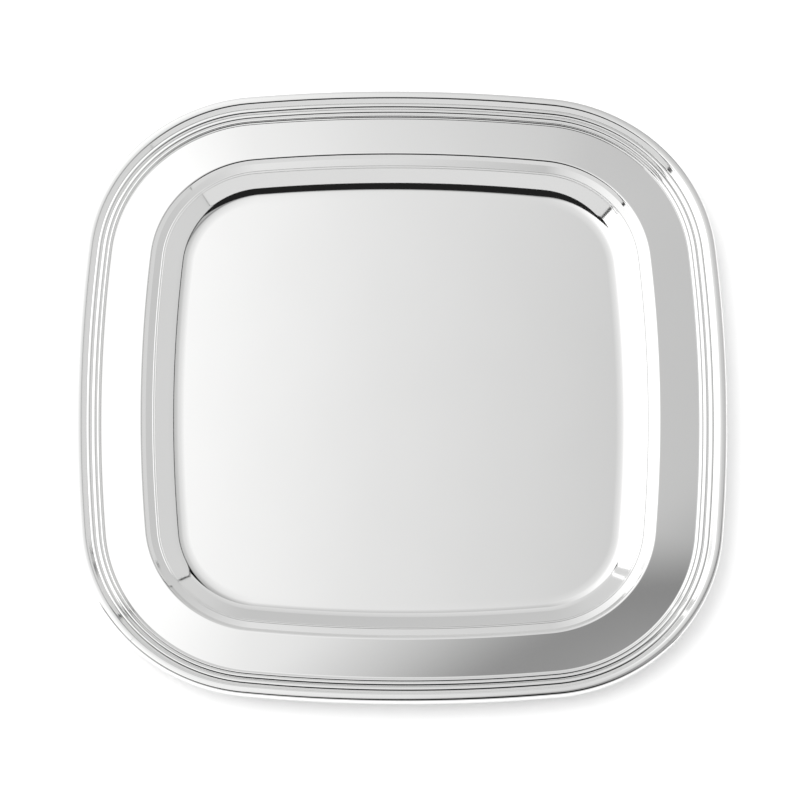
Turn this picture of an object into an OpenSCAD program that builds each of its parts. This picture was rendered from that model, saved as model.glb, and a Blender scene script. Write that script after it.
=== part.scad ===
// Cushion-shaped square silver salver: a raised sheet body with a broad rim and a
// sunk well, an applied border of edge wire and three-reed moulding, and four low feet.
// +Z is up, the soles of the feet stand on z = 0, and the middle of the tray is on x = y = 0.
// Every section is drawn as [inset from the outer edge, height].

/* [Outline] */
// Width between the middles of opposite sides
across = 300; // [260:5:340]
// Radius of each bowed side
side_r = 747; // [600:1:900]
// Radius of each corner
corner_r = 84; // [75:1:95]

/* [Sheet body] */
// Thickness of the sheet
sheet_t = 1.1; // [0.8:0.1:1.4]
// Height of the well's floor above the ground
floor_z = 5.1; // [4.6:0.1:6]
// Height of the rim's inner edge above the ground
rim_z = 13.1; // [12.9:0.1:14]
// Inset of the sheet's outer edge, which lies under the edge wire
sheet_inset = 1; // [0.5:0.1:1.5]
// Inset of the rim's inner edge
rim_inset = 30.2; // [28:0.1:32]
// Slope of the rim, which rises towards the well
rim_slope = 3.4; // [2:0.1:4]
// Slope of the shelf between the rim's rounded edge and the threads
shelf_slope = 12; // [8:1:14]
// Inset of the threads, where the wall of the well begins
thread_inset = 36.6; // [36:0.1:38]
// Radius of each of the two threads
thread_r = 0.3; // [0.2:0.05:0.4]
// Slope of the wall of the well
wall_slope = 32; // [29:1:36]
// Radius of the cove between the wall and the floor
cove_r = 11; // [9:0.5:12]

/* [Border] */
// Height of the edge wire's crown above the ground
wire_top = 16.35; // [16:0.05:16.6]
// Height of the edge wire's lowest part above the ground
wire_bottom = 11.55; // [11.4:0.05:11.8]
// Inset of the joint between the edge wire and the moulding
wire_inset = 5.65; // [5.5:0.05:5.8]

/* [Feet] */
// Distance of each foot from the tray's two middle lines
foot_at = 72; // [60:1:78]
// Radius of a foot's sole
foot_r = 6; // [4:0.5:8]

/* [Hidden] */
$fn = 256;

half = across / 2;
// Where a corner's centre lies so that its arc runs smoothly into both sides
reach = side_r - half;
corner_c = (sqrt(2 * pow(side_r - corner_r, 2) - pow(reach, 2)) - reach) / 2;
// Half the angle of a side's arc, rounded up so that neighbouring arcs lap by a hair and weld
side_a = ceil(atan2(corner_c, corner_c + reach) * 10000) / 10000;

// The rounded lip at the rim's inner edge: its radius, its width, and the slope it ends at
lip_r = 2;
lip_w = 2.6;
lip_slope = 42;
// The easy curve that ends the cove: its radius and the slope it starts at
ease_r = 28;
ease_slope = 6;
thread_gap = 0.95;
// How far the swept sections lap over the floor panel
floor_lap = 5;

// Radii of the edge wire's heel, shoulder, crown and brow, from its outer foot to its inner flank
heel_r = 1.2;
shoulder_r = 1;
crown_r = 9;
brow_r = 2.2;
// Slopes of the crown where it meets the shoulder and the brow, and of the flank after the brow
crown_out = -6;
crown_in = 8;
flank_slope = 45;

// Each reed of the moulding as [inset of its crest, height of its crest, radius]
reeds = [[6.5, 14.1, 2.1], [9.2, 13.5, 1.7], [11.1, 12.85, 1.1]];
// Slope where the last reed turns into the fillet, and the fillet's radius
reed_end_slope = 35;
fillet_r = 1.6;

foot_top_r = 8;
foot_neck_r = 4;
foot_h = floor_z - sheet_t;
// The rounding and the height of a sole's edge, and the heights of the spread top and its rim
sole_edge = 0.6;
sole_h = 1.2;
spread_h = 1.4;
spread_edge = 0.5;

// Straight pieces in a short arc, in the cove, and in a side and a corner of the floor panel
arc_n = 6;
cove_n = 12;
side_n = 8;
corner_n = 24;

// Points along an arc from slope a to slope b, as [inset, height, slope].
// A positive radius rounds over, a negative one is a cove.
function arc(p, r, a, b, n = arc_n) =
    [for (i = [0 : n]) let (s = a + (b - a) * i / n)
        [p[0] + r * (sin(s) - sin(a)), p[1] + r * (cos(s) - cos(a)), s]];

// The point that lies a given inset further in, down the given slope
function down(p, run, s) = [p[0] + run, p[1] - run * tan(s), s];
function last(list) = list[len(list) - 1];

// Height of the rim's upper face at an inset
function rim_at(inset) = rim_z - (rim_inset - inset) * tan(rim_slope);

// The upper face of the sheet, from its outer edge to the floor
lip = arc([rim_inset, rim_z], lip_r, -rim_slope, lip_slope);
shelf = down(last(lip), rim_inset + lip_w - last(lip)[0], lip_slope);
wall = down(shelf, thread_inset - shelf[0], shelf_slope);
cove_drop = cove_r * (cos(ease_slope) - cos(wall_slope)) + ease_r * (1 - cos(ease_slope));
bend = arc(down(wall, (wall[1] - floor_z - cove_drop) / tan(wall_slope), wall_slope),
           -cove_r, wall_slope, ease_slope, cove_n);
ease = arc(last(bend), -ease_r, ease_slope, 0);
cove = concat(bend, [for (i = [1 : arc_n]) ease[i]]);
upper_face = concat([[sheet_inset, rim_at(sheet_inset), -rim_slope]], lip,
                    [[shelf[0], shelf[1], (lip_slope + shelf_slope) / 2],
                     [wall[0], wall[1], (shelf_slope + wall_slope) / 2]],
                    cove, [[last(cove)[0] + floor_lap, floor_z, 0]]);
// The lower face, one sheet thickness below
lower_face = [for (p = upper_face) [p[0] - sheet_t * sin(p[2]), p[1] - sheet_t * cos(p[2])]];
floor_inset = last(cove)[0];

// A section swept round one arc of the outline
module sweep(centre, r, from, to)
    translate(centre) rotate_extrude(angle = to - from, start = from)
        translate([r, 0]) mirror([1, 0]) children();

// A section swept along the east side
module along_side() sweep([-reach, 0, 0], side_r, -side_a, side_a) children();

// A section swept along one side, from the middle of a corner to the middle of the next.
// turn 0 is the east side, and each turn goes to the next side anticlockwise.
module length_of(turn) rotate([0, 0, 90 * turn]) {
    along_side() children();
    sweep([corner_c, corner_c, 0], corner_r, side_a, 45) children();
    sweep([corner_c, -corner_c, 0], corner_r, -45, -side_a) children();
}

// A section swept all the way round
module all_round() for (turn = [0 : 3]) rotate([0, 0, 90 * turn]) {
    along_side() children();
    sweep([corner_c, corner_c, 0], corner_r, side_a, 90 - side_a) children();
}

// The outline at an inset
module outline(inset) polygon([for (turn = [0 : 3])
    let (q = 90 * turn,
         side = [for (i = [0 : side_n - 1])
                    let (a = side_a * (2 * i / side_n - 1), r = side_r - inset)
                    [r * cos(a) - reach, r * sin(a)]],
         corner = [for (i = [0 : corner_n - 1])
                      let (a = side_a + (90 - 2 * side_a) * i / corner_n, r = corner_r - inset)
                      [corner_c + r * cos(a), corner_c + r * sin(a)]])
    for (p = concat(side, corner)) [p[0] * cos(q) - p[1] * sin(q), p[0] * sin(q) + p[1] * cos(q)]]);

module sheet_section() {
    polygon(concat([for (p = upper_face) [p[0], p[1]]],
                   [for (i = [len(lower_face) - 1 : -1 : 0]) lower_face[i]]));
    for (i = [-0.5, 0.5])
        translate([wall[0] + i * thread_gap,
                   wall[1] - i * thread_gap * tan(i < 0 ? shelf_slope : wall_slope)])
            circle(r = thread_r);
}

module wire_section() {
    heel = arc([heel_r, wire_bottom], heel_r, -180, -90);
    shoulder_z = wire_top - crown_r * (1 - cos(crown_out)) - shoulder_r * cos(crown_out);
    shoulder = arc([0, shoulder_z], shoulder_r, -90, crown_out);
    crown = arc(last(shoulder), crown_r, crown_out, crown_in);
    brow = arc(last(crown), brow_r, crown_in, flank_slope);
    flank = down(last(brow), wire_inset - last(brow)[0], flank_slope);
    face = concat(heel, shoulder, [for (i = [1 : arc_n]) crown[i]],
                  [for (i = [1 : arc_n]) brow[i]], [flank]);
    polygon(concat([for (p = face) [p[0], p[1]]],
                   [[wire_inset, rim_at(wire_inset)], [heel_r, rim_at(heel_r)]]));
}

module moulding_section() {
    third = reeds[2];
    fillet = arc([third[0] + third[2] * sin(reed_end_slope),
                  third[1] - third[2] * (1 - cos(reed_end_slope))],
                 -fillet_r, reed_end_slope, -rim_slope);
    end = last(fillet)[0];
    centres = [for (reed = reeds) [reed[0], reed[1] - reed[2]]];
    intersection() {
        union() {
            for (i = [0 : 2]) translate(centres[i]) circle(r = reeds[i][2]);
            polygon(concat([[wire_inset, floor_z], [wire_inset, centres[0][1]]], centres,
                           [for (p = fillet) [p[0], p[1]]], [[end, floor_z]]));
        }
        polygon([[wire_inset, rim_at(wire_inset)], [end, rim_at(end)],
                 [end, wire_top], [wire_inset, wire_top]]);
    }
}

module tray_plate() color("silver") {
    all_round() sheet_section();
    translate([0, 0, floor_z - sheet_t]) linear_extrude(sheet_t) outline(floor_inset + floor_lap / 2);
}

module edge_wire(turn) color("gainsboro") length_of(turn) wire_section();

module moulding(turn) color("lightgray") length_of(turn) moulding_section();

// A turned pad foot, soldered under a corner of the well
module foot(x, y) color("darkgray") translate([foot_at * x, foot_at * y, 0]) rotate_extrude()
    polygon([[0, 0], [foot_r - sole_edge, 0], [foot_r, sole_edge], [foot_r, sole_h],
             [foot_neck_r, foot_h - spread_h], [foot_top_r, foot_h - spread_edge],
             [foot_top_r, foot_h], [0, foot_h]]);

tray_plate();
edge_wire(0);  // edge_wire_east
edge_wire(1);  // edge_wire_north
edge_wire(2);  // edge_wire_west
edge_wire(3);  // edge_wire_south
moulding(0);  // moulding_east
moulding(1);  // moulding_north
moulding(2);  // moulding_west
moulding(3);  // moulding_south
foot(1, -1);  // foot_southeast
foot(1, 1);  // foot_northeast
foot(-1, 1);  // foot_northwest
foot(-1, -1);  // foot_southwest
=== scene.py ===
"""Silver salver: the polished pieces swept over the CAD frame, in a light tent on a white floor."""
import math

import bpy
from mathutils import Matrix, Vector


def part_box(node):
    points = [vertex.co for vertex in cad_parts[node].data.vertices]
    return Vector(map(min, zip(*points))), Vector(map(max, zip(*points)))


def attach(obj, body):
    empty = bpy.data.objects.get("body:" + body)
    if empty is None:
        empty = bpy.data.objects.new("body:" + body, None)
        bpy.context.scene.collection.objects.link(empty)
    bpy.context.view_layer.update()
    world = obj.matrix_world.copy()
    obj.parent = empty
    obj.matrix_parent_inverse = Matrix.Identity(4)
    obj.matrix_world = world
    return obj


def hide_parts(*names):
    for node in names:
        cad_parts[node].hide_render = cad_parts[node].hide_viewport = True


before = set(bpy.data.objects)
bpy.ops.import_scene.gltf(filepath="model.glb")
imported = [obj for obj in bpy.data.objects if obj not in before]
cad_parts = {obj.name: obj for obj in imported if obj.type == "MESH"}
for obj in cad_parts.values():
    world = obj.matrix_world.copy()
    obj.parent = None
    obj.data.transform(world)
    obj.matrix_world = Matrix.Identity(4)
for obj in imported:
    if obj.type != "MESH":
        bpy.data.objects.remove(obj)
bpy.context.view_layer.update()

MM = 0.001

# ---------------------------------------------------------------- sizes, in millimetres
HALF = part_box("edge_wire_east")[1].x / MM
SIDE_R = 747
CORNER_R = 84
SIDE_STEPS = 28
CORNER_STEPS = 28

SHEET = 1.1
SHEET_INSET = 1.0
FLOOR_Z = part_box("foot_southeast")[1].z / MM + SHEET
RIM_INSET = 30.2
RIM_Z = 13.1
RIM_SLOPE = 3.4
LIP_R = 2.0
LIP_SLOPE = 42
LIP_W = 2.6
SHELF_SLOPE = 12
THREAD_INSET = 36.6
THREAD_GAP = 0.95
THREAD_HALF = 0.3
THREAD_LEAN = 50
WALL_SLOPE = 32
COVE_R = 11
EASE_R = 28
EASE_SLOPE = 6

WIRE_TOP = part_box("edge_wire_east")[1].z / MM
WIRE_BOTTOM = 11.55
WIRE_SHOULDER_R = 1.0
WIRE_CROWN_R = 9
WIRE_BROW_R = 2.2
WIRE_HEEL_R = 1.2
WIRE_INSET = 5.65
CROWN_OUT = -6
CROWN_IN = 8
FLANK_SLOPE = 45
REEDS = [(6.5, 14.1, 2.1), (9.2, 13.5, 1.7), (11.1, 12.85, 1.1)]
REED_END_LEAN = 35
FILLET_R = 1.6
SEAM = 0.06

SOLE_R = 6
SOLE_EDGE = 0.6
SOLE_H = 1.2
NECK_R = 4
SPREAD_H = 1.4
SPREAD_EDGE = 0.5
FOOT_STEPS = 64
FLOOR_RINGS = 24

SIDES = ["east", "north", "west", "south"]
CORNERS = ["southeast", "northeast", "northwest", "southwest"]
EAST, NORTH, UP = (1, 0, 0), (0, 1, 0), (0, 0, 1)


# ---------------------------------------------------------------- sections
# A section point is (inset from the outer edge, height, lean), where the lean is the
# angle of the surface's normal: 0 is up, 90 is inwards and -90 is outwards.
# A section is a closed ring of smooth strokes, and each stroke starts where the last one ends.
def sind(a):
    return math.sin(math.radians(a))


def cosd(a):
    return math.cos(math.radians(a))


def tand(a):
    return math.tan(math.radians(a))


def rim_at(inset):
    """Height of the rim's upper face at an inset."""
    return RIM_Z - (RIM_INSET - inset) * tand(RIM_SLOPE)


def arc(centre, radius, start, end, steps):
    """An arc about a centre; a negative radius is a hollow one."""
    leans = [start + (end - start) * i / steps for i in range(steps + 1)]
    return [(centre[0] + radius * sind(s), centre[1] + radius * cosd(s), s) for s in leans]


def line(start, end):
    """A straight stroke with the normal on its left-hand side, going inwards over the top."""
    lean = math.degrees(math.atan2(start[1] - end[1], end[0] - start[0]))
    return [(start[0], start[1], lean), (end[0], end[1], lean)]


def arc_from(point, radius, end, steps):
    """An arc that starts smoothly at a section point and ends at the given lean."""
    centre = (point[0] - radius * sind(point[2]), point[1] - radius * cosd(point[2]))
    return arc(centre, radius, point[2], end, steps)


def crossing(a, b):
    """The upper point where two reeds cross, and the lean of each one there."""
    ax, az, ar = a[0], a[1] - a[2], a[2]
    bx, bz, br = b[0], b[1] - b[2], b[2]
    gap = math.hypot(bx - ax, bz - az)
    along = (gap * gap + ar * ar - br * br) / (2 * gap)
    up = math.sqrt(ar * ar - along * along)
    ux, uz = (bx - ax) / gap, (bz - az) / gap
    x, z = ax + along * ux - up * uz, az + along * uz + up * ux
    return math.degrees(math.atan2(x - ax, z - az)), math.degrees(math.atan2(x - bx, z - bz))


def straight_down(point, run, slope):
    """The point a given inset further in, down a slope."""
    return (point[0] + run, point[1] - run * tand(slope), slope)


def thread(middle, slope):
    """A low rounded rib on a slope."""
    radius = THREAD_HALF / sind(THREAD_LEAN)
    centre = (middle[0] - radius * cosd(THREAD_LEAN) * sind(slope),
              middle[1] - radius * cosd(THREAD_LEAN) * cosd(slope))
    return arc(centre, radius, slope - THREAD_LEAN, slope + THREAD_LEAN, steps=10)


def sheet_section():
    """The sheet's strokes over the rim, lip, shelf, threads and wall to the floor, and those back below."""
    rim = [(SHEET_INSET, rim_at(SHEET_INSET), -RIM_SLOPE), (RIM_INSET, RIM_Z, -RIM_SLOPE)]
    lip = arc_from(rim[1], LIP_R, LIP_SLOPE, steps=18)
    shelf_top = straight_down(lip[-1], RIM_INSET + LIP_W - lip[-1][0], LIP_SLOPE)
    bend = straight_down(shelf_top, THREAD_INSET - shelf_top[0], SHELF_SLOPE)
    outer_thread = thread(straight_down(bend, -THREAD_GAP / 2, SHELF_SLOPE), SHELF_SLOPE)
    inner_thread = thread(straight_down(bend, THREAD_GAP / 2, WALL_SLOPE), WALL_SLOPE)
    cove_drop = COVE_R * (cosd(EASE_SLOPE) - cosd(WALL_SLOPE)) + EASE_R * (1 - cosd(EASE_SLOPE))
    wall_end = straight_down(bend, (bend[1] - FLOOR_Z - cove_drop) / tand(WALL_SLOPE), WALL_SLOPE)
    cove = arc_from(wall_end, -COVE_R, EASE_SLOPE, steps=28)
    cove += arc_from(cove[-1], -EASE_R, 0, steps=10)[1:]
    over = [rim + lip[1:] + [shelf_top],
            line(shelf_top, outer_thread[0]), outer_thread, line(outer_thread[-1], bend),
            line(bend, inner_thread[0]), inner_thread,
            line(inner_thread[-1], wall_end) + cove[1:]]

    smooth = rim + lip[1:] + [shelf_top[:2] + ((LIP_SLOPE + SHELF_SLOPE) / 2,),
                              bend[:2] + ((SHELF_SLOPE + WALL_SLOPE) / 2,)] + cove
    under = [(d - SHEET * sind(s), z - SHEET * cosd(s), s + 180) for d, z, s in reversed(smooth)]
    return over, under


def wire_section():
    """An edge moulding with a low crown, a tight outer shoulder and a filled inner flank."""
    crest_inset = WIRE_SHOULDER_R * (1 + sind(CROWN_OUT)) - WIRE_CROWN_R * sind(CROWN_OUT)
    crown = arc((crest_inset, WIRE_TOP - WIRE_CROWN_R), WIRE_CROWN_R, CROWN_OUT, CROWN_IN, steps=20)
    shoulder_z = crown[0][1] - WIRE_SHOULDER_R * cosd(CROWN_OUT)
    shoulder = arc((WIRE_SHOULDER_R, shoulder_z), WIRE_SHOULDER_R, -90, CROWN_OUT, steps=24)
    brow = arc_from(crown[-1], WIRE_BROW_R, FLANK_SLOPE, steps=20)
    valley = straight_down(brow[-1], WIRE_INSET - brow[-1][0], FLANK_SLOPE)
    heel = arc((WIRE_HEEL_R, WIRE_BOTTOM + WIRE_HEEL_R), WIRE_HEEL_R, -180, -90, steps=14)
    back = (WIRE_INSET, rim_at(WIRE_INSET))
    toe = (WIRE_HEEL_R, rim_at(WIRE_HEEL_R))
    return [heel + shoulder + crown[1:] + brow[1:] + [valley],
            line(valley, back), line(back, toe), line(toe, heel[0])]


def moulding_section():
    """Three reeds side by side, each one lower and thinner than the last, and a fillet towards the rim."""
    first, second, third = REEDS
    start = math.degrees(math.asin((WIRE_INSET - first[0]) / first[2]))
    bounds = [start, *crossing(first, second), *crossing(second, third), REED_END_LEAN]
    reeds = [arc((reed[0], reed[1] - reed[2]), reed[2], bounds[2 * i], bounds[2 * i + 1], steps=30)
             for i, reed in enumerate(REEDS)]
    fillet = arc_from(reeds[-1][-1], -FILLET_R, -RIM_SLOPE, steps=16)
    foot = (fillet[-1][0], rim_at(fillet[-1][0]))
    heel = (WIRE_INSET, rim_at(WIRE_INSET))
    return reeds[:2] + [reeds[2] + fillet[1:],
                        line(fillet[-1], foot), line(foot, heel), line(heel, reeds[0][0])]


# ---------------------------------------------------------------- the outline
def outline(turn):
    """Stations along one side, from the middle of a corner to the middle of the next.

    A station is (centre x, centre y, radius at the outer edge, direction in degrees)."""
    reach = SIDE_R - HALF
    corner = (math.sqrt(2 * (SIDE_R - CORNER_R) ** 2 - reach ** 2) - reach) / 2
    side_a = math.degrees(math.atan2(corner, corner + reach))
    runs = [(corner, -corner, CORNER_R, -45, -side_a, CORNER_STEPS),
            (-reach, 0, SIDE_R, -side_a, side_a, SIDE_STEPS),
            (corner, corner, CORNER_R, side_a, 45, CORNER_STEPS)]
    stations = []
    for x, y, radius, start, end, steps in runs:
        for i in range(steps):
            stations.append((x, y, radius, start + (end - start) * i / steps))
    stations.append((corner, corner, CORNER_R, 45))
    c, s = cosd(90 * turn), sind(90 * turn)
    return [(x * c - y * s, x * s + y * c, radius, a + 90 * turn) for x, y, radius, a in stations]


def place(point, station, sink=0):
    """A section point at a station, in metres, sunk below the surface."""
    inset, height, lean = point
    x, y, radius, direction = station
    out = radius - inset + sink * sind(lean)
    return Vector((x + out * cosd(direction), y + out * sind(direction), height - sink * cosd(lean))) * MM


def normal(lean, direction, along=0):
    """The surface normal at a lean, turned partly along the path for a seam's bevel."""
    n = Vector((-sind(lean) * cosd(direction), -sind(lean) * sind(direction), cosd(lean)))
    n += along * Vector((-sind(direction), cosd(direction), 0))
    return n.normalized()


# ---------------------------------------------------------------- meshes
def new_piece(name, verts, faces, normals, material, slot, node):
    """A mesh piece with exact normals, which stands for its CAD node."""
    mesh = bpy.data.meshes.new(name)
    mesh.from_pydata([tuple(v) for v in verts], [], faces)
    mesh.shade_smooth()
    mesh.normals_split_custom_set([tuple(n) for n in normals])
    mesh.materials.append(material)
    piece = bpy.data.objects.new(name, mesh)
    bpy.context.scene.collection.objects.link(piece)
    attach(piece, "root")
    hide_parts(node)
    return piece


def swept_length(strokes, turn):
    """A closed section swept along one side, with its two ends bevelled for the joints."""
    stations = outline(turn)
    tuck = math.degrees(SEAM / CORNER_R)
    ends = [stations[0], stations[-1]]
    stations[0] = ends[0][:3] + (ends[0][3] + tuck,)
    stations[-1] = ends[1][:3] + (ends[1][3] - tuck,)
    rings = [(ends[0], SEAM)] + [(s, 0) for s in stations] + [(ends[1], SEAM)]
    points = [p for stroke in strokes for p in stroke[:-1]]
    spans = [(a, b) for stroke in strokes for a, b in zip(stroke, stroke[1:])]
    count = len(points)
    verts = [place(p, station, sink) for station, sink in rings for p in points]
    faces, normals = [], []
    for j in range(len(rings) - 1):
        along = -1 if j == 0 else 1 if j == len(rings) - 2 else 0
        here, there = rings[j][0][3], rings[j + 1][0][3]
        for k, (a, b) in enumerate(spans):
            k2 = (k + 1) % count
            faces.append((j * count + k, (j + 1) * count + k, (j + 1) * count + k2, j * count + k2))
            normals += [normal(a[2], here, along), normal(a[2], there, along),
                        normal(b[2], there, along), normal(b[2], here, along)]
    first = list(range(count))
    last = [(len(rings) - 1) * count + k for k in reversed(range(count))]
    for cap, along, direction in [(first, -1, ends[0][3]), (last, 1, ends[1][3])]:
        faces.append(cap)
        normals += [Vector((-along * sind(direction), along * cosd(direction), 0))] * count
    return verts, faces, normals


def ring_strip(low, high, span, stations, faces, normals):
    """One strip of quads between two rings of vertices, all the way round."""
    a, b = span
    count = len(stations)
    for j in range(count):
        j2 = (j + 1) % count
        faces.append((low + j, low + j2, high + j2, high + j))
        here, there = stations[j][3], stations[j2][3]
        normals += [normal(a[2], here), normal(a[2], there), normal(b[2], there), normal(b[2], here)]


def disc(ring, stations, z, up, verts, faces, normals):
    """Closes a level ring with smaller and smaller rings and a fan in the middle."""
    count = len(stations)
    rim = [verts[ring + j] for j in range(count)]
    level = Vector((0, 0, 1 if up else -1))
    outer = ring
    for step in range(1, FLOOR_RINGS):
        share = 1 - step / FLOOR_RINGS
        inner = len(verts)
        verts += [Vector((v.x * share, v.y * share, z)) for v in rim]
        for j in range(count):
            j2 = (j + 1) % count
            quad = (outer + j, outer + j2, inner + j2, inner + j)
            faces.append(quad if up else quad[::-1])
            normals += [level] * 4
        outer = inner
    middle = len(verts)
    verts.append(Vector((0, 0, z)))
    for j in range(count):
        j2 = (j + 1) % count
        tri = (outer + j, outer + j2, middle)
        faces.append(tri if up else tri[::-1])
        normals += [level] * 3


def tray_mesh():
    """The sheet body: its section swept all the way round, and the flat floor inside it."""
    over, under = sheet_section()
    stations = [s for turn in range(4) for s in outline(turn)[:-1]]
    count = len(stations)
    rings, spans = [], []
    for stroke in over:
        for a, b in zip(stroke, stroke[1:]):
            rings.append(a)
            spans.append((a, b))
    rings.append(over[-1][-1])
    verts, faces, normals = [], [], []
    for point in rings:
        verts += [place(point, s) for s in stations]
    for i, span in enumerate(spans):
        ring_strip(i * count, (i + 1) * count, span, stations, faces, normals)
    disc(len(spans) * count, stations, FLOOR_Z * MM, True, verts, faces, normals)

    below = len(verts)
    for point in under:
        verts += [place(point, s) for s in stations]
    for i, span in enumerate(zip(under, under[1:])):
        ring_strip(below + i * count, below + (i + 1) * count, span, stations, faces, normals)
    last = below + (len(under) - 1) * count
    edge = (0, 0, -90)
    ring_strip(last, 0, (edge, edge), stations, faces, normals)
    disc(below, stations, (FLOOR_Z - SHEET) * MM, False, verts, faces, normals)
    return verts, faces, normals


def foot_mesh(node):
    """A turned pad foot: a rounded sole, a waist and a spread top that meets the sheet."""
    low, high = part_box(node)
    centre, height = (low + high) / 2, (high.z - low.z) / MM
    top_r = (high.x - low.x) / 2 / MM
    sole = [(0, 0, 180), (SOLE_R - SOLE_EDGE, 0, 180)]
    toe = [(SOLE_R - SOLE_EDGE + SOLE_EDGE * sind(a), SOLE_EDGE - SOLE_EDGE * cosd(a), 180 - a)
           for a in range(0, 91, 15)]
    waist_low, waist_high = (NECK_R, height - SPREAD_H), (top_r, height - SPREAD_EDGE)
    strokes = [sole, toe, turned((SOLE_R, SOLE_EDGE), (SOLE_R, SOLE_H)), turned((SOLE_R, SOLE_H), waist_low),
               turned(waist_low, waist_high), turned(waist_high, (top_r, height)),
               [(top_r, height, 0), (0, height, 0)]]
    verts, faces, normals = [], [], []
    points = [p for stroke in strokes for p in stroke[:-1]][1:]
    spans = [(a, b) for stroke in strokes for a, b in zip(stroke, stroke[1:])]
    for p in points:
        for j in range(FOOT_STEPS):
            a = 360 * j / FOOT_STEPS
            verts.append(centre + Vector((p[0] * MM * cosd(a), p[0] * MM * sind(a), 0)))
            verts[-1].z = low.z + p[1] * MM
    for z in (low.z, high.z):
        verts.append(Vector((centre.x, centre.y, z)))
    bottom, top = len(verts) - 2, len(verts) - 1
    for k, (p, q) in enumerate(spans):
        for j in range(FOOT_STEPS):
            j2 = (j + 1) % FOOT_STEPS
            here, there = 360 * j / FOOT_STEPS, 360 * (j + 1) / FOOT_STEPS
            if k == 0:
                corners = [(bottom, p, here), (j2, q, there), (j, q, here)]
            elif k == len(spans) - 1:
                base = (k - 1) * FOOT_STEPS
                corners = [(base + j, p, here), (base + j2, p, there), (top, q, here)]
            else:
                base = (k - 1) * FOOT_STEPS
                corners = [(base + j, p, here), (base + j2, p, there),
                           (base + FOOT_STEPS + j2, q, there), (base + FOOT_STEPS + j, q, here)]
            faces.append([c[0] for c in corners])
            normals += [Vector((sind(c[1][2]) * cosd(c[2]), sind(c[1][2]) * sind(c[2]), cosd(c[1][2])))
                        for c in corners]
    return verts, faces, normals


def turned(start, end):
    """A straight stroke of a turned profile, given as (radius, height, lean from up to outwards)."""
    lean = math.degrees(math.atan2(end[1] - start[1], start[0] - end[0]))
    return [(start[0], start[1], lean), (end[0], end[1], lean)]


# ---------------------------------------------------------------- materials
def node_tree(material):
    material.use_nodes = True
    material.node_tree.nodes.clear()
    return material.node_tree.nodes, material.node_tree.links


def silver(name, tint, rough_low, rough_high, swirl_scale, bump):
    """Polished silver: a mirror with faint cloudiness, and fine polishing marks in its gloss."""
    material = bpy.data.materials.new(name)
    nodes, links = node_tree(material)
    out = nodes.new("ShaderNodeOutputMaterial")
    shader = nodes.new("ShaderNodeBsdfPrincipled")
    shader.inputs["Metallic"].default_value = 1.0
    links.new(shader.outputs["BSDF"], out.inputs["Surface"])
    where = nodes.new("ShaderNodeTexCoord")

    cloud = nodes.new("ShaderNodeTexNoise")
    cloud.inputs["Scale"].default_value = 22
    cloud.inputs["Detail"].default_value = 4
    links.new(where.outputs["Object"], cloud.inputs["Vector"])
    colour = nodes.new("ShaderNodeValToRGB")
    colour.color_ramp.elements[0].position = 0.3
    colour.color_ramp.elements[0].color = (*[c * 0.985 for c in tint], 1)
    colour.color_ramp.elements[1].position = 0.7
    colour.color_ramp.elements[1].color = (*tint, 1)
    links.new(cloud.outputs["Fac"], colour.inputs["Fac"])
    links.new(colour.outputs["Color"], shader.inputs["Base Color"])

    swirl = nodes.new("ShaderNodeTexNoise")
    swirl.inputs["Scale"].default_value = swirl_scale
    swirl.inputs["Detail"].default_value = 3
    swirl.inputs["Distortion"].default_value = 1.5
    links.new(where.outputs["Object"], swirl.inputs["Vector"])
    rough = nodes.new("ShaderNodeMapRange")
    rough.inputs["From Min"].default_value = 0.25
    rough.inputs["From Max"].default_value = 0.75
    rough.inputs["To Min"].default_value = rough_low
    rough.inputs["To Max"].default_value = rough_high
    links.new(swirl.outputs["Fac"], rough.inputs["Value"])
    links.new(rough.outputs["Result"], shader.inputs["Roughness"])

    relief = nodes.new("ShaderNodeBump")
    relief.inputs["Strength"].default_value = 1.0
    relief.inputs["Distance"].default_value = bump
    links.new(swirl.outputs["Fac"], relief.inputs["Height"])
    links.new(relief.outputs["Normal"], shader.inputs["Normal"])
    return material


def build_salver():
    """Every piece of the salver, each one standing for its CAD node."""
    bright, dull = (0.955, 0.955, 0.95), (0.88, 0.87, 0.85)
    polished = silver("polished_silver", bright, rough_low=0.05, rough_high=0.08, swirl_scale=900, bump=4e-7)
    border = silver("border_silver", bright, rough_low=0.05, rough_high=0.09, swirl_scale=1400, bump=3e-7)
    cast = silver("cast_silver", dull, rough_low=0.24, rough_high=0.4, swirl_scale=700, bump=2e-6)
    new_piece("salver_tray_plate", *tray_mesh(), polished, "polished_silver", "tray_plate")
    for turn, side in enumerate(SIDES):
        wire = swept_length(wire_section(), turn)
        new_piece(f"salver_edge_wire_{side}", *wire, border, "border_silver", f"edge_wire_{side}")
        moulding = swept_length(moulding_section(), turn)
        new_piece(f"salver_moulding_{side}", *moulding, border, "border_silver", f"moulding_{side}")
    for corner in CORNERS:
        node = f"foot_{corner}"
        new_piece(f"salver_{node}", *foot_mesh(node), cast, "cast_silver", node)


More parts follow.
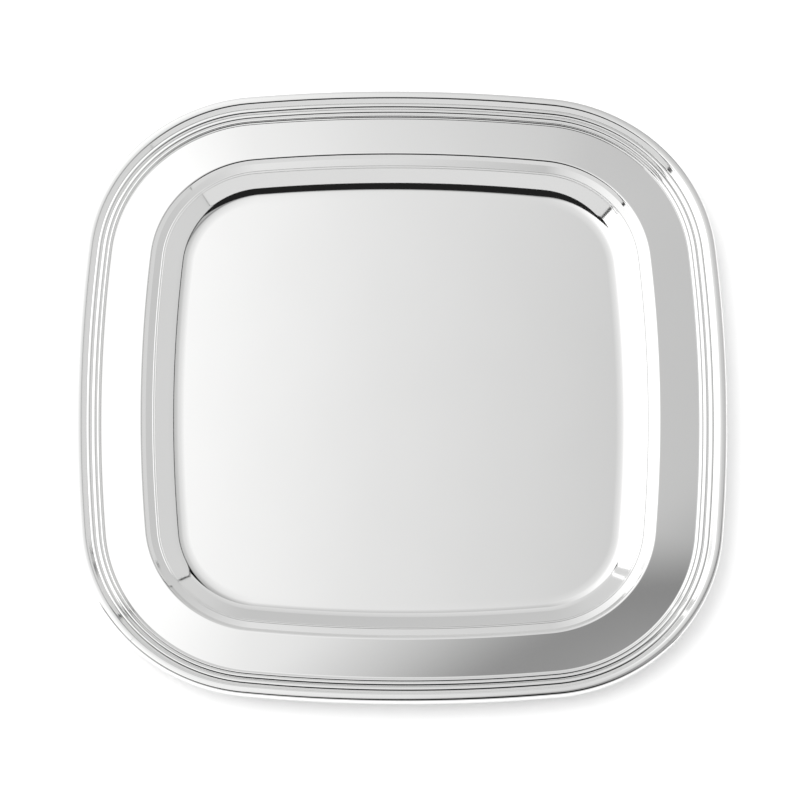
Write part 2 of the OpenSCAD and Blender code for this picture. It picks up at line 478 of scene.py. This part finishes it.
# ---------------------------------------------------------------- studio, in metres
def glow(name, ramps):
    """A card's emission: the product of some ramps of brightness, each one along its own direction."""
    material = bpy.data.materials.new(name)
    nodes, links = node_tree(material)
    out = nodes.new("ShaderNodeOutputMaterial")
    emission = nodes.new("ShaderNodeEmission")
    links.new(emission.outputs["Emission"], out.inputs["Surface"])
    where = nodes.new("ShaderNodeNewGeometry")
    product = None
    for direction, stops in ramps:
        low, high = stops[0][0], stops[-1][0]
        along = nodes.new("ShaderNodeVectorMath")
        along.operation = "DOT_PRODUCT"
        along.inputs[1].default_value = direction
        links.new(where.outputs["Position"], along.inputs[0])
        share = nodes.new("ShaderNodeMapRange")
        share.inputs["From Min"].default_value = low
        share.inputs["From Max"].default_value = high
        links.new(along.outputs["Value"], share.inputs["Value"])
        ramp = nodes.new("ShaderNodeValToRGB")
        ramp.color_ramp.interpolation = "LINEAR"
        while len(ramp.color_ramp.elements) < len(stops):
            ramp.color_ramp.elements.new(0.5)
        for element, (at, level) in zip(ramp.color_ramp.elements, stops):
            element.position = (at - low) / (high - low)
            element.color = (level, level, level, 1)
        links.new(share.outputs["Result"], ramp.inputs["Fac"])
        if product is None:
            product = ramp.outputs["Color"]
        else:
            both = nodes.new("ShaderNodeVectorMath")
            both.operation = "MULTIPLY"
            links.new(product, both.inputs[0])
            links.new(ramp.outputs["Color"], both.inputs[1])
            product = both.outputs["Vector"]
    links.new(product, emission.inputs["Color"])
    return material


def strip(name, rows, ramps):
    """A card of light through two rows of points, which only the silver sees."""
    count = len(rows[0])
    mesh = bpy.data.meshes.new(name)
    faces = [(i, i + 1, count + i + 1, count + i) for i in range(count - 1)]
    mesh.from_pydata(rows[0] + rows[1], [], faces)
    mesh.materials.append(glow(name, ramps))
    obj = bpy.data.objects.new(name, mesh)
    bpy.context.scene.collection.objects.link(obj)
    obj.visible_camera = False
    obj.visible_diffuse = False
    obj.visible_shadow = False


def wall(name, plan, height, levels):
    """An upright card along a line of plan points, with its brightness from the floor up."""
    rows = [[(x, y, z) for x, y in plan] for z in (0, height)]
    strip(name, rows, [(UP, levels)])


def round_plan(radius, start, end, steps=24):
    """Plan points on a circle about the salver, between two directions from the east."""
    angles = [start + (end - start) * i / steps for i in range(steps + 1)]
    return [(radius * cosd(a), radius * sind(a)) for a in angles]


def build_tent():
    """The light tent that the silver mirrors: an overhead scrim, and wall cards all round it."""
    top, south_top = 1.0, 1.75
    east, west, north = 0.56, -0.9, 1.3
    scrim_east = 0.48
    edge = [(west, -0.03), (-0.06, -0.03), (0.06, 0.02), (0.2, 0.02), (scrim_east, -0.02)]
    strip("scrim", [[(x, y, top) for x, y in edge], [(x, north, top) for x, _ in edge]],
          [(EAST, [(west, 1.5), (-0.4, 1.35), (-0.2, 1.1), (0, 0.82), (0.2, 0.62), (scrim_east, 0.53)]),
           (NORTH, [(0, 0.88), (0.2, 0.98), (0.6, 1.0), (0.8, 0.88), (north, 0.7)]),
           ((-0.6, 1, 0), [(-0.1, 0.85), (-0.04, 0.52), (0, 0.42), (0.05, 0.78), (0.1, 1.0)])])
    wall("north_card", [(0.92, north), (-1.25, north)], top,
         [(0, 0.42), (0.15, 0.52), (0.3, 0.66), (top, 0.75)])
    wall("east_card", [(east, -0.31), (east, 0.77)], top, [(0, 0.70), (0.3, 0.68), (top, 0.64)])
    wall("west_card", [(west, -0.25), (west, 1.0)], top, [(0, 0.75), (0.12, 1.25), (top, 1.5)])
    wall("south_card", round_plan(1.25, 199, 329), south_top, [(0, 0.70), (south_top, 0.76)])
    wall("northeast_slit", round_plan(1.1, 51, 54, 2), top, [(0, 1.2), (top, 1.2)])
    wall("northwest_slit", round_plan(1.6, 126, 128, 2), top, [(0, 1.2), (top, 1.2)])
    room = 2.4
    strip("dark_room", [[(-room, y, room), (room, y, room)] for y in (-room, room)],
          [(EAST, [(-room, 0.015), (room, 0.015)])])


def build_floor():
    """A plain white floor."""
    mesh = bpy.data.meshes.new("floor")
    size = 6
    corners = [(-size, -size, 0), (size, -size, 0), (size, size, 0), (-size, size, 0)]
    mesh.from_pydata(corners, [], [(0, 1, 2, 3)])
    material = bpy.data.materials.new("floor_paper")
    nodes, links = node_tree(material)
    out = nodes.new("ShaderNodeOutputMaterial")
    shader = nodes.new("ShaderNodeBsdfDiffuse")
    shader.inputs["Color"].default_value = (0.82, 0.82, 0.82, 1)
    links.new(shader.outputs["BSDF"], out.inputs["Surface"])
    mesh.materials.append(material)
    floor = bpy.data.objects.new("floor", mesh)
    bpy.context.scene.collection.objects.link(floor)


def build_lights():
    """An even white world and a broad soft lamp from the left, neither of them seen by the silver."""
    world = bpy.data.worlds.new("studio")
    bpy.context.scene.world = world
    world.use_nodes = True
    background = world.node_tree.nodes["Background"]
    background.inputs["Color"].default_value = (1, 1, 1, 1)
    background.inputs["Strength"].default_value = 1.4
    world.cycles_visibility.glossy = False

    lamp = bpy.data.lights.new("key", "SUN")
    lamp.energy = 1.7
    lamp.angle = math.radians(70)
    key = bpy.data.objects.new("key", lamp)
    key.rotation_mode = "QUATERNION"
    key.rotation_quaternion = Vector((1.0, -0.2, -1.0)).to_track_quat("-Z", "Y")
    key.visible_glossy = False
    bpy.context.scene.collection.objects.link(key)


def build_camera():
    """The photograph's view: far off, and some twenty degrees from straight above."""
    azimuth, elevation, distance = -2.06, 69.37, 2.2245
    border_middle = Vector((0, 0, 0.014))
    aim = Vector((-0.0003, -0.0046, 0.014))
    data = bpy.data.cameras.new("camera")
    data.sensor_width = 36
    data.lens = 217.6
    camera = bpy.data.objects.new("camera", data)
    back = Vector((sind(azimuth) * cosd(elevation), -cosd(azimuth) * cosd(elevation), sind(elevation)))
    camera.location = border_middle + back * distance
    ahead = (aim - camera.location).normalized()
    right = ahead.cross(Vector((0, 1, 0))).normalized()
    camera.rotation_mode = "QUATERNION"
    camera.rotation_quaternion = Matrix((right, right.cross(ahead), -ahead)).transposed().to_quaternion()
    bpy.context.scene.collection.objects.link(camera)
    bpy.context.scene.camera = camera


build_salver()
build_tent()
build_floor()
build_lights()
build_camera()
bpy.context.scene.view_settings.view_transform = "Standard"
